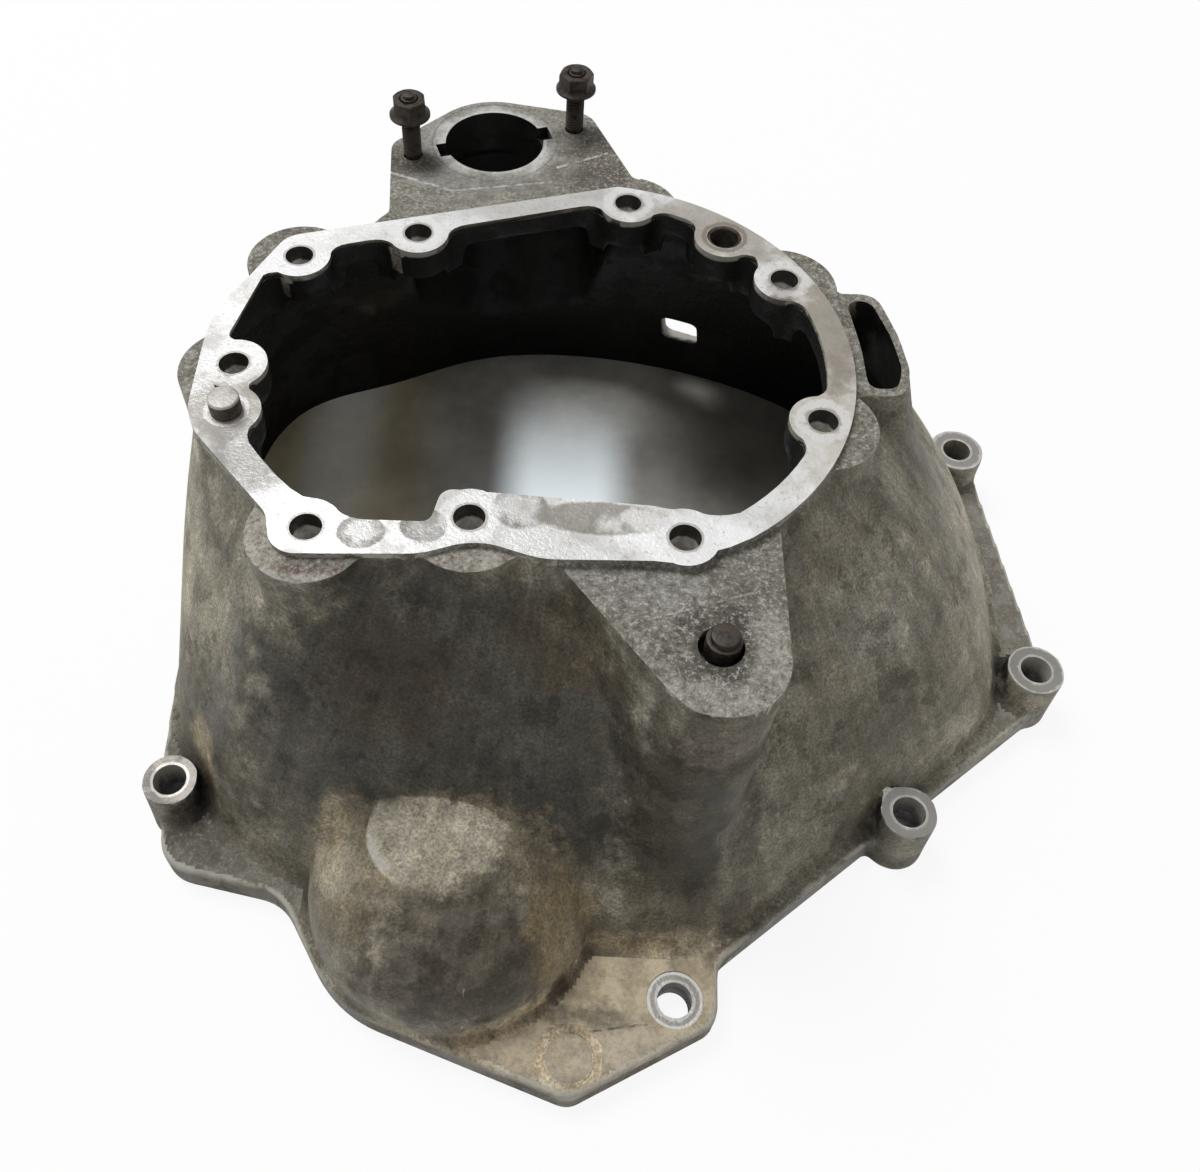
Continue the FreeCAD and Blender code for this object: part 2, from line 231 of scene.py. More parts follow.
# %% A copy of the solid model
ALLOWANCE = 3 * MM
PLATE_DEPTH = 4 * MM
only(frame["nodes"]["bell_housing"])
bpy.ops.object.duplicate()
casting = bpy.context.object
casting.name = "casting"
bpy.ops.object.parent_clear(type="CLEAR_KEEP_TRANSFORM")
edit_all(casting, bpy.ops.mesh.remove_doubles, threshold=0.00001)
casting.data.materials.clear()
print("merged copy:", len(casting.data.vertices), "points")

# %% The gearbox flange's plate
# The machined plate is crisp, so its top faces are copied now, thickened downwards and kept
# for later.
pick_faces(casting, lambda centre, normal:
           normal.z > 0.99 and abs(centre.z - GEARBOX_FACE) < 0.1 * MM)
bpy.ops.mesh.duplicate()
bpy.ops.mesh.separate(type="SELECTED")
bpy.ops.object.mode_set(mode="OBJECT")
plate = [obj for obj in bpy.context.selected_objects if obj is not casting][0]
plate.name = "flange_plate"
apply_modifier(plate, "SOLIDIFY", thickness=PLATE_DEPTH, offset=-1)
edit_all(plate, bpy.ops.mesh.normals_make_consistent, inside=False)

# %% [markdown]
# Each bolt boss flows into the wall with a hollow curve. Where two side faces of the plate
# meet in a sharp inner corner, a small bar with one curved side fills it.

# %% Curved fills for the plate's inner corners
FLARE = 8 * MM


def corner_end(mesh, corner, face):
    """The point of the outline about one FLARE from the corner, along this side face."""
    way = (face.center - corner).xy
    if way.length > FLARE / 2:
        return corner.xy + way.normalized() * FLARE
    steps = [vertex.co.xy - corner.xy for vertex in mesh.vertices]
    ahead = [step for step in steps
             if step.length > 1 * MM and step.normalized().dot(way.normalized()) > 0.75]
    return corner.xy + min(ahead, key=lambda step: abs(step.length - FLARE))


def flare_outlines(mesh):
    """One outline for each sharp inner corner that opens towards the shaft."""
    sides = {}
    for face in mesh.polygons:
        for key in face.edge_keys if abs(face.normal.z) < 0.1 else ():
            sides.setdefault(key, []).append(face)
    outlines = []
    for (low, high), faces in sides.items():
        corner = mesh.vertices[low].co
        if len(faces) < 2 or (corner - mesh.vertices[high].co).xy.length > 0.01 * MM:
            continue
        first, second = faces
        out = (first.normal + second.normal).xy
        hollow = (second.center - first.center).dot(first.normal) > 0
        if hollow and first.normal.angle(second.normal) > math.radians(25) and out.dot(corner.xy) < 0:
            start, end = (corner_end(mesh, corner, face) for face in faces)
            curve = [start * (1 - t) ** 2 + corner.xy * 2 * t * (1 - t) + end * t ** 2
                     for t in (0, 0.2, 0.4, 0.6, 0.8, 1)]
            back = out.normalized() * 3 * MM
            outlines.append([start - back / 2] + curve + [end - back / 2, corner.xy - back])
    return outlines


FLARES = flare_outlines(plate.data)
print("flares:", len(FLARES))
for outline in FLARES:
    carve(plate, prism(outline, GEARBOX_FACE - PLATE_DEPTH, GEARBOX_FACE), "UNION")
# The plate's holes are closed with discs, and drilled again with all the others
for spot in FACE_BOLTS + [PIN, SLEEVE]:
    carve(plate, disc(spot, 8 * MM, GEARBOX_FACE - PLATE_DEPTH, GEARBOX_FACE), "UNION")
apply_modifier(plate, "BEVEL", width=0.5 * MM, segments=2, limit_method="ANGLE",
               angle_limit=math.radians(60))
print("flange plate:", len(plate.data.polygons), "faces")

# %% Raise the faces that will be cut
for low, high, extra in ((PIVOT_PAD, GEARBOX_FACE, ALLOWANCE), (LUG_TOP, LUG_TOP, 1.4 * MM)):
    pick_faces(casting, lambda centre, normal:
               normal.z > 0.99 and low - 0.1 * MM < centre.z < high + 0.1 * MM)
    bpy.ops.mesh.extrude_region_move(TRANSFORM_OT_translate={"value": (0, 0, extra)})
pick_faces(casting, lambda centre, normal: normal.z < -0.99 and centre.z < 0.1 * MM)
bpy.ops.mesh.extrude_region_move(TRANSFORM_OT_translate={"value": (0, 0, -ALLOWANCE)})
bpy.ops.object.mode_set(mode="OBJECT")

# %% Plug every hole
plugs = [disc(spot, 7.6 * MM, 131 * MM, GEARBOX_FACE + ALLOWANCE) for spot in FACE_BOLTS + [PIN, SLEEVE]]
plugs += [disc(spot, 7.5 * MM, -ALLOWANCE, LUG_TOP + ALLOWANCE) for spot in TALL_LUGS]
plugs += [disc(spot, 11 * MM, -ALLOWANCE, PLATE_TOP) for spot in FLAT_LUGS]
plugs += [disc(spot, 5 * MM, 128 * MM, CLUTCH_PAD + ALLOWANCE) for spot in STUDS]
plugs.append(disc(BORE, 27.5 * MM, 132.2 * MM, CLUTCH_PAD + ALLOWANCE))
plugs.append(disc(PIVOT, 10 * MM, 120 * MM, PIVOT_PAD + ALLOWANCE))
window_plug = block((-0.012, -0.0023, -0.0135), (0.012, 0.0023, 0.0135))
window_plug.rotation_euler = (math.radians(24.8), 0, math.radians(WINDOW_ANGLE - 90))
window_plug.location = polar(147.8, WINDOW_ANGLE, 34)
plugs.append(apply_place(window_plug))

# The dome's flat top is a little proud, with a crest along its left side
facet = disc((0, 0), 25 * MM, -20 * MM, 0)
facet.scale.y = 0.82
facet.rotation_euler = (math.radians(4), math.radians(5), math.radians(-6))
facet.location = (-46 * MM, -157 * MM, 56.6 * MM)
plugs.append(apply_place(facet))
plugs += [prism(outline, 122 * MM, GEARBOX_FACE) for outline in FLARES]
casting = join([casting] + plugs)

# %% [markdown]
# A voxel remesh turns the overlapping plugs and walls into one closed skin of even small
# faces. It loses everything finer than a voxel, so the voxel is small.

# %% One even skin
VOXEL = 1.4 * MM
apply_modifier(casting, "REMESH", mode="VOXEL", voxel_size=VOXEL, adaptivity=0)
print("skin:", len(casting.data.polygons), "faces")

# %% [markdown]
# Smoothing is done twice: lightly all over, and strongly where walls flow into each other.
# A vertex group says where, with weights between 0 and 1 worked out from each point's place.

# %% Measuring places on the skin
def ramp(value, start, end):
    """0 at start, 1 at end, and even between."""
    return np.clip((value - start) / (end - start), 0, 1)


def positions(mesh, name="co"):
    """The places of all points, or their normals, as rows of three numbers."""
    flat = np.empty(len(mesh.vertices) * 3)
    mesh.vertices.foreach_get(name, flat)
    return flat.reshape(-1, 3)


def distance_to(points, spot):
    return np.hypot(points[:, 0] - spot[0] * MM, points[:, 1] - spot[1] * MM)


def weigh(obj, name, weights):
    """A vertex group with one weight for each point."""
    group = obj.vertex_groups.new(name=name)
    steps = np.round(weights * 20).astype(int)
    for step in range(1, 21):
        where = np.nonzero(steps == step)[0].tolist()
        if where:
            group.add(where, step / 20, "REPLACE")


# %% Soft blends
apply_modifier(casting, "SMOOTH", factor=0.5, iterations=4)
points = positions(casting.data)
soft = ramp(points[:, 2], 140 * MM, 134 * MM) * ramp(points[:, 2], 1 * MM, 5 * MM)
# The tops of the first three tall lugs and the crest on the dome's left side stay crisp
for spot in TALL_LUGS[:3]:
    near_lug = ramp(distance_to(points, spot), 19 * MM, 15 * MM)
    soft = np.minimum(soft, 1 - near_lug * ramp(points[:, 2], 18 * MM, 23 * MM))
crest = ramp(np.abs(points[:, 0] + 70 * MM), 14 * MM, 7 * MM) * ramp(points[:, 2], 38 * MM, 44 * MM)
crest *= ramp(points[:, 2], 64 * MM, 60 * MM) * ramp(distance_to(points, DOME), 44 * MM, 38 * MM)
soft = np.minimum(soft, 1 - crest)
weigh(casting, "soft", soft)
apply_modifier(casting, "SMOOTH", factor=0.5, iterations=9, vertex_group="soft")

points = positions(casting.data)
flowing = ramp(points[:, 2], 136 * MM, 124 * MM) * ramp(points[:, 2], 34 * MM, 44 * MM)
flowing = np.maximum(flowing, ramp(distance_to(points, PIVOT), 42 * MM, 30 * MM)
                     * ramp(points[:, 2], 132 * MM, 110 * MM))
flowing *= ramp(distance_to(points, DOME), 58 * MM, 66 * MM)
weigh(casting, "flowing", flowing)
apply_modifier(casting, "SMOOTH", factor=0.5, iterations=40, vertex_group="flowing")
print("smoothed")

# %% Thin the skin, keeping its shape
apply_modifier(casting, "DECIMATE", decimate_type="COLLAPSE", ratio=0.33)
print("thinned:", len(casting.data.polygons), "triangles")

# %% [markdown]
# ## Machining
#
# The mill cuts the gearbox face and the engine face, then the drills make the holes. Each
# tool is a plain block or cylinder that is cut out of the casting.

# %% Flat cuts
PAST = 0.3  # in metres, past the casting's sides
ABOVE = 0.2  # in metres, above its top
FLAT_CUTS = [
    (-PAST, -PAST, PAST, PAST, LOBE_TOP),
    (-0.09, 0.06, 0.022, 0.18, CLUTCH_PAD),
    (-0.01, -0.16, 0.072, -0.06, PIVOT_PAD),
    (0.1, -0.014, 0.14, 0.048, PIVOT_PAD),  # round the vent slot
]
for left, front, right, back, height in FLAT_CUTS:
    carve(casting, block((left, front, height), (right, back, ABOVE)))
carve(casting, plate, "UNION")
carve(casting, block((-PAST, -PAST, -0.05), (PAST, PAST, 0)))
carve(casting, join([disc(spot, 13 * MM, LUG_TOP, 0.06) for spot in TALL_LUGS]))

# %% A raised disc on the engine flange, smooth and as cast
cast_disc = disc(CAST_DISC, 9.3 * MM, 10 * MM, 15.2 * MM)
apply_modifier(cast_disc, "BEVEL", width=0.8 * MM, segments=3, limit_method="ANGLE")
carve(casting, cast_disc, "UNION")

# %% Drilled holes, by their radius
OVER = 0.15  # in metres: a drill starts above the gearbox face
BOLT_HOLE = 5.5 * MM
LUG_HOLE = 6.5 * MM
STUD_HOLE = 4.05 * MM
SLEEVE_HOLE = 5.8 * MM
SPOT_FACE = 13.4 * MM  # height of the milled ring round each flat lug's hole
RECESS = (PIVOT[0] - 0.9, PIVOT[1] - 1.7)  # the pivot doesn't stand in its middle
drills = [disc(spot, BOLT_HOLE, 124 * MM, OVER) for spot in FACE_BOLTS]
drills += [disc(spot, LUG_HOLE, -0.01, 0.04) for spot in TALL_LUGS + FLAT_LUGS]
drills += [disc(spot, STUD_HOLE, 131 * MM, OVER) for spot in STUDS]
drills.append(disc(PIN, 5.45 * MM, 135 * MM, OVER))
drills.append(disc(SLEEVE, 7.05 * MM, 134.4 * MM, OVER))
carve(casting, join(drills))
carve(casting, disc(SLEEVE, SLEEVE_HOLE, 0.124, OVER))
carve(casting, join([disc(spot, 10.6 * MM, SPOT_FACE, 0.04) for spot in FLAT_LUGS]))
carve(casting, disc(RECESS, 7.6 * MM, 135 * MM, OVER))
carve(casting, disc(PIVOT, 6.05 * MM, 123 * MM, OVER))

# %% The release cylinder's bore, with a notch towards each stud
carve(casting, disc(BORE, 21.5 * MM, 0.122, OVER, sides=128))
notch = block((-25.5 * MM, -4.5 * MM, 137 * MM), (25.5 * MM, 4.5 * MM, 150 * MM))
notch.rotation_euler.z = math.radians(19.1)
notch.location = (BORE[0] * MM, BORE[1] * MM, 0)
carve(casting, apply_place(notch))

# %% The window in the back wall, with rounded corners
window = block((-9.5 * MM, -20 * MM, -10 * MM), (9.5 * MM, 20 * MM, 10 * MM))
apply_modifier(window, "BEVEL", width=4 * MM, segments=4, limit_method="ANGLE")
window.rotation_euler.z = math.radians(WINDOW_ANGLE - 90)
window.location = polar(150, WINDOW_ANGLE, 34)
carve(casting, apply_place(window))

# %% Mouths of the bolt holes are eased with a small countersink
for spot in FACE_BOLTS:
    carve(casting, cone(spot, GEARBOX_FACE + 0.5 * MM, 2 * MM, 4.5 * MM, 6.5 * MM))
print("machined:", len(casting.data.polygons), "faces")
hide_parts("bell_housing")
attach(casting, "root")

# %% [markdown]
# Shading is smooth over the cast skin and breaks at crisp edges. Milled planes are shaded
# flat, which keeps the soft neighbours from bending the light on them.

# %% Smooth and flat shading
only(casting)
bpy.ops.object.shade_smooth_by_angle(angle=math.radians(34))
pick_faces(casting, lambda centre, normal: abs(normal.z) > 0.99999)
bpy.ops.mesh.faces_shade_flat()
bpy.ops.object.mode_set(mode="OBJECT")
apply_modifier(casting, "WEIGHTED_NORMAL", keep_sharp=True)

# %% [markdown]
# ## Where dirt, wear, painted shade and painted highlights gather
#
# Two values are stored on every point of the casting. "open" is the share of the sky that
# the point sees: where it is low, dirt and painted shade darken the skin, almost black inside.
# "ridge" tells how far the point stands out of its surroundings: edges are rubbed bright and
# given a painted highlight, and hollows get grime and painted shade.

# %% The share of sky that each point sees
def sky_directions(count=28):
    """Directions spread evenly over the upper half of a sphere."""
    golden = math.pi * (3 - math.sqrt(5))
    found = []
    for index in range(count):
        height = (index + 0.5) / count
        side = math.sqrt(1 - height * height)
        found.append(Vector((side * math.cos(index * golden), side * math.sin(index * golden), height)))
    return found


def store(obj, name, values):
    """Keep one number for each point of the mesh, under this name."""
    attribute = obj.data.attributes.new(name, "FLOAT", "POINT")
    attribute.data.foreach_set("value", values)


def sky_share(obj):
    """The share of the directions in front of each point that are free of the object."""
    tree = BVHTree.FromPolygons([vertex.co for vertex in obj.data.vertices],
                                [tuple(face.vertices) for face in obj.data.polygons])
    directions = sky_directions()
    shares = []
    for vertex in obj.data.vertices:
        start = vertex.co + vertex.normal * 0.4 * MM
        ahead = [way for way in directions if way.dot(vertex.normal) > 0.1]
        free = sum(tree.ray_cast(start, way, 0.5)[0] is None for way in ahead)
        shares.append(free / max(len(ahead), 8))
    return shares


def stand_out(obj, rounds=10):
    """How far each point stands out of a smoothed copy of the mesh, in millimetres."""
    mesh = obj.data
    points = positions(mesh)
    ends = np.empty(len(mesh.edges) * 2, dtype=int)
    mesh.edges.foreach_get("vertices", ends)
    first, second = ends.reshape(-1, 2).T
    count = np.bincount(ends, minlength=len(points))[:, None]
    smooth = points.copy()
    for _ in range(rounds):
        total = np.zeros_like(smooth)
        np.add.at(total, first, smooth[second])
        np.add.at(total, second, smooth[first])
        smooth = 0.5 * smooth + 0.5 * total / np.maximum(count, 1)
    return np.einsum("ij,ij->i", points - smooth, positions(mesh, "normal")) / MM


# Boss walls inside the opening and the bore's wall get the same painted shade as the rest of
# the inside. The bore's mask has no lower end, so the outside of the rear wall under the bore is black too
points = positions(casting.data)
normals = positions(casting.data, "normal")
inward = -(points[:, :2] * normals[:, :2]).sum(axis=1) / np.hypot(points[:, 0], points[:, 1])
open_share = np.array(sky_share(casting))
boss_wall = (inward > 0.1) & (points[:, 2] > 95 * MM) & (points[:, 2] < 143.6 * MM)
bore_wall = (distance_to(points, BORE) < 26.5 * MM) & (points[:, 2] < 141.9 * MM)
open_share[boss_wall | bore_wall] *= 0.25
# The other rear walls get no painted shade or grime outside, even in the corner beside the clutch pad
rear_wall = (inward < -0.3) & (points[:, 1] > 40 * MM) & ~bore_wall
open_share[rear_wall] = np.maximum(open_share[rear_wall], 0.66)
store(casting, "open", open_share)
store(casting, "ridge", stand_out(casting))
print("stored open and ridge on", len(casting.data.vertices), "points")

# %% [markdown]
# ## Finishes
#
# One old casting shows many finishes: dull cast skin, bright milled faces, brown oil stains
# and grime, with painted shade almost black inside and painted highlights on lit walls. They
# share a few effects, such as grain, streaks and stains at a place. Each effect is a node
# group, built once and used with different values.

# %% Small helpers for nodes
# new_group and new_material open a node tree, and every helper here builds in the open one.
tree = None


def new_node(kind):
    return tree.nodes.new("ShaderNode" + kind)


def feed(socket, value):
    """Link an output to the socket, or set the socket's own value."""
    if isinstance(value, bpy.types.NodeSocket):
        tree.links.new(value, socket)
    elif socket.type == "RGBA":
        socket.default_value = (*value, 1)
    else:
        socket.default_value = value


def maths(operation, a, b=0.0, clamp=False):
    node = new_node("Math")
    node.operation = operation
    node.use_clamp = clamp
    feed(node.inputs[0], a)
    feed(node.inputs[1], b)
    return node.outputs[0]


def plus(a, b, clamp=False):
    return maths("ADD", a, b, clamp)


def minus(a, b):
    return maths("SUBTRACT", a, b)


def times(a, b):
    return maths("MULTIPLY", a, b)


def over(a, b):
    return maths("DIVIDE", a, b)


def vector_maths(operation, a, b):
    node = new_node("VectorMath")
    node.operation = operation
    feed(node.inputs[0], a)
    feed(node.inputs[1], b)
    return node.outputs["Value"] if operation in ("LENGTH", "DOT_PRODUCT") else node.outputs["Vector"]


def between(value, start, end, low=0.0, high=1.0):
    """The value mapped smoothly from start..end to low..high."""
    node = new_node("MapRange")
    node.interpolation_type = "SMOOTHSTEP"
    for socket, number in zip(node.inputs[:5], (value, start, end, low, high)):
        feed(socket, number)
    return node.outputs[0]


def blend(share, a, b, kind="MIX"):
    """Mix two colours by a share from 0 to 1."""
    node = new_node("Mix")
    node.data_type = "RGBA"
    node.blend_type = kind
    for number, value in ((0, share), (6, a), (7, b)):
        feed(node.inputs[number], value)
    return node.outputs[2]


def noise(where, scale, detail=3.0, roughness=0.55):
    """Grey clouds. The scale counts clouds for each metre."""
    node = new_node("TexNoise")
    for name, value in (("Vector", where), ("Scale", scale), ("Detail", detail), ("Roughness", roughness)):
        feed(node.inputs[name], value)
    return node.outputs["Fac"]


ORIGIN = (0, 0, 0)


def new_group(name, outputs, **inputs):
    """Open a new node group. Its inputs get their usual numbers, and its outputs are values."""
    global tree
    tree = bpy.data.node_groups.new(name, "ShaderNodeTree")
    for label, value in inputs.items():
        kind = "NodeSocketVector" if isinstance(value, tuple) else "NodeSocketFloat"
        tree.interface.new_socket(label, in_out="INPUT", socket_type=kind).default_value = value
    for label in outputs:
        tree.interface.new_socket(label, in_out="OUTPUT", socket_type="NodeSocketFloat")
    return tree.nodes.new("NodeGroupInput").outputs, tree.nodes.new("NodeGroupOutput").inputs


def use_group(name, **inputs):
    """Put a node group into the open tree, with its inputs linked or set."""
    node = new_node("Group")
    node.node_tree = bpy.data.node_groups[name]
    for label, value in inputs.items():
        feed(node.inputs[label], value)
    return node.outputs


def split_xyz(vector):
    node = new_node("SeparateXYZ")
    feed(node.inputs[0], vector)
    return node.outputs


def join_xyz(x, y, z):
    node = new_node("CombineXYZ")
    for socket, value in zip(node.inputs, (x, y, z)):
        feed(socket, value)
    return node.outputs[0]


# %% [markdown]
# A stain has a place, a size and a ragged edge. The group measures how far a point is from
# the middle, in units of the stain's size, and lets noise push the edge in and out.

# %% Stain at a place
entry, leave = new_group("stain", ["Mask"], Place=ORIGIN, Centre=ORIGIN, Size=(1, 1, 1),
                         Edge=0.4, Wobble=0.5)
offset = vector_maths("SUBTRACT", entry["Place"], entry["Centre"])
away = vector_maths("LENGTH", vector_maths("DIVIDE", offset, entry["Size"]), ORIGIN)
ragged = minus(noise(entry["Place"], 90, 4, 0.62), 0.5)
away = plus(away, times(times(ragged, entry["Wobble"]), 3))
inner = minus(1.0, entry["Edge"])
outer = plus(1.0, entry["Edge"])
feed(leave["Mask"], between(away, inner, outer, 1.0, 0.0))

# %% [markdown]
# Cast skin is never one grey. It has broad clouds, patches the size of a thumb, and a fine
# light and dark grain from the sand. The group gives each as a value, and adds them up as a
# height for the bump.

# %% Grain of cast skin
entry, leave = new_group("cast_grain", ["Clouds", "Patches", "Grain", "Height"], Place=ORIGIN)
clouds = noise(entry["Place"], 14, 4, 0.6)
patches = noise(entry["Place"], 75, 5, 0.62)
grain = noise(entry["Place"], 950, 3, 0.7)
feed(leave["Clouds"], between(clouds, 0.32, 0.68))
feed(leave["Patches"], between(patches, 0.3, 0.7))
feed(leave["Grain"], between(grain, 0.3, 0.7))
feed(leave["Height"], plus(times(grain, 0.3), patches))

# %% [markdown]
# Oil and water run down the walls and leave streaks that follow the fall of the wall. The
# group unrolls the bell, with the angle round the shaft across and the height upwards.

# %% Streaks that run down the wall
entry, leave = new_group("streaks", ["Mask"], Place=ORIGIN, Fine=1.0)
x, y, z = split_xyz(entry["Place"])
across = times(maths("ARCTAN2", y, x), times(entry["Fine"], 0.16))
unrolled = join_xyz(across, times(z, 0.12), 0.0)
feed(leave["Mask"], between(noise(unrolled, 150, 4, 0.6), 0.35, 0.68))

# %% [markdown]
# Rims and scratches are thin: a rim is a ring round an upright line, rubbed bright where
# bolts and tools touched it. A scratch runs straight from one point towards another.

# %% Rims and scratches
entry, leave = new_group("rim", ["Mask"], Place=ORIGIN, Centre=ORIGIN, Radius=0.01, Width=0.001)
x, y = split_xyz(vector_maths("SUBTRACT", entry["Place"], entry["Centre"]))[:2]
away = vector_maths("LENGTH", join_xyz(x, y, 0.0), ORIGIN)
ragged = minus(noise(entry["Place"], 260, 4, 0.65), 0.5)
away = plus(away, times(times(ragged, entry["Width"]), 2.5))
off = over(maths("ABSOLUTE", minus(away, entry["Radius"])), entry["Width"])
feed(leave["Mask"], between(off, 0.5, 1.2, 1.0, 0.0))

entry, leave = new_group("scratch", ["Mask"], Place=ORIGIN, Start=ORIGIN, Along=(1, 0, 0),
                         Length=0.04, Width=0.0005)
offset = vector_maths("SUBTRACT", entry["Place"], entry["Start"])
run = vector_maths("DOT_PRODUCT", offset, entry["Along"])
scaled = new_node("VectorMath")
scaled.operation = "SCALE"
feed(scaled.inputs[0], entry["Along"])
feed(scaled.inputs["Scale"], run)
off = vector_maths("LENGTH", vector_maths("SUBTRACT", offset, scaled.outputs[0]), ORIGIN)
line = between(over(off, entry["Width"]), 0.5, 1.0, 1.0, 0.0)
started = maths("GREATER_THAN", run, 0.0)
ended = maths("LESS_THAN", run, entry["Length"])
broken = between(noise(entry["Place"], 300, 3, 0.6), 0.38, 0.55)
line = times(times(line, broken), times(started, ended))
feed(leave["Mask"], line)

# %% [markdown]
# ## The casting's finishes
#
# The cast skin starts as a cloudy grey. Streaks, grain and stains are laid over it in the
# order in which they came: first the oil of years and painted highlights where light falls on
# the walls, then dust and painted shade in the hollows and inside, at last the bright rubs along
# the edges, which also serve as painted highlights.

# %% Laying stains, rims and scratches
def new_material(name):
    """Open a new material's tree, and give the material and its main shader's sockets."""
    global tree
    material = bpy.data.materials.new(name)
    material.use_nodes = True
    tree = material.node_tree
    return material, tree.nodes["Principled BSDF"].inputs


def object_place():
    return new_node("TexCoord").outputs["Object"]


def stored(name):
    node = new_node("Attribute")
    node.attribute_name = name
    return node.outputs["Fac"]


def cover(mask, share, colour, paint):
    """Cover a colour with paint where the mask is, up to a share."""
    return blend(times(mask, share), colour, paint)


def tint(mask, share, colour, factor):
    """Multiply a colour by a factor colour where the mask is, up to a share."""
    return blend(times(mask, share), colour, factor, "MULTIPLY")


def finish(main, colour, roughness, normal):
    """Link the layers of a finish to its shader."""
    for name, value in (("Base Color", colour), ("Roughness", roughness), ("Normal", normal)):
        feed(main[name], value)


def lay_stains(place, colour, stains):
    """Lay stains over a colour. Each is (centre, size, edge, wobble, stain colour, share).

    On a flat face two sizes will do, and the stain is 9 mm thick.
    """
    for centre, size, edge, wobble, stain, share in stains:
        size = Vector(size if len(size) == 3 else (*size, 9)) * MM
        mask = use_group("stain", Place=place, Centre=Vector(centre) * MM, Size=size,
                         Edge=edge, Wobble=wobble)["Mask"]
        colour = cover(mask, share, colour, stain)
    return colour


def lay_rims(place, colour, rims):
    """Lay rings over a colour. Each is (centres, radius, width, ring colour, share)."""
    for centres, radius, width, rim, share in rims:
        for centre in centres:
            mask = use_group("rim", Place=place, Centre=Vector((*centre, 0)) * MM,
                             Radius=radius * MM, Width=width * MM)["Mask"]
            colour = cover(mask, share, colour, rim)
    return colour


def lay_scratches(place, colour, scratches):
    """Lay scratches over a colour. Each is (start, end, width, colour, share)."""
    for start, end, width, line, share in scratches:
        way = (Vector(end) - Vector(start)) * MM
        mask = use_group("scratch", Place=place, Start=Vector(start) * MM, Along=way.normalized(),
                         Length=way.length, Width=width * MM)["Mask"]
        colour = cover(mask, share, colour, line)
    return colour


def bump(height, distance):
    node = new_node("Bump")
    feed(node.inputs["Height"], height)
    feed(node.inputs["Distance"], distance)
    return node.outputs["Normal"]


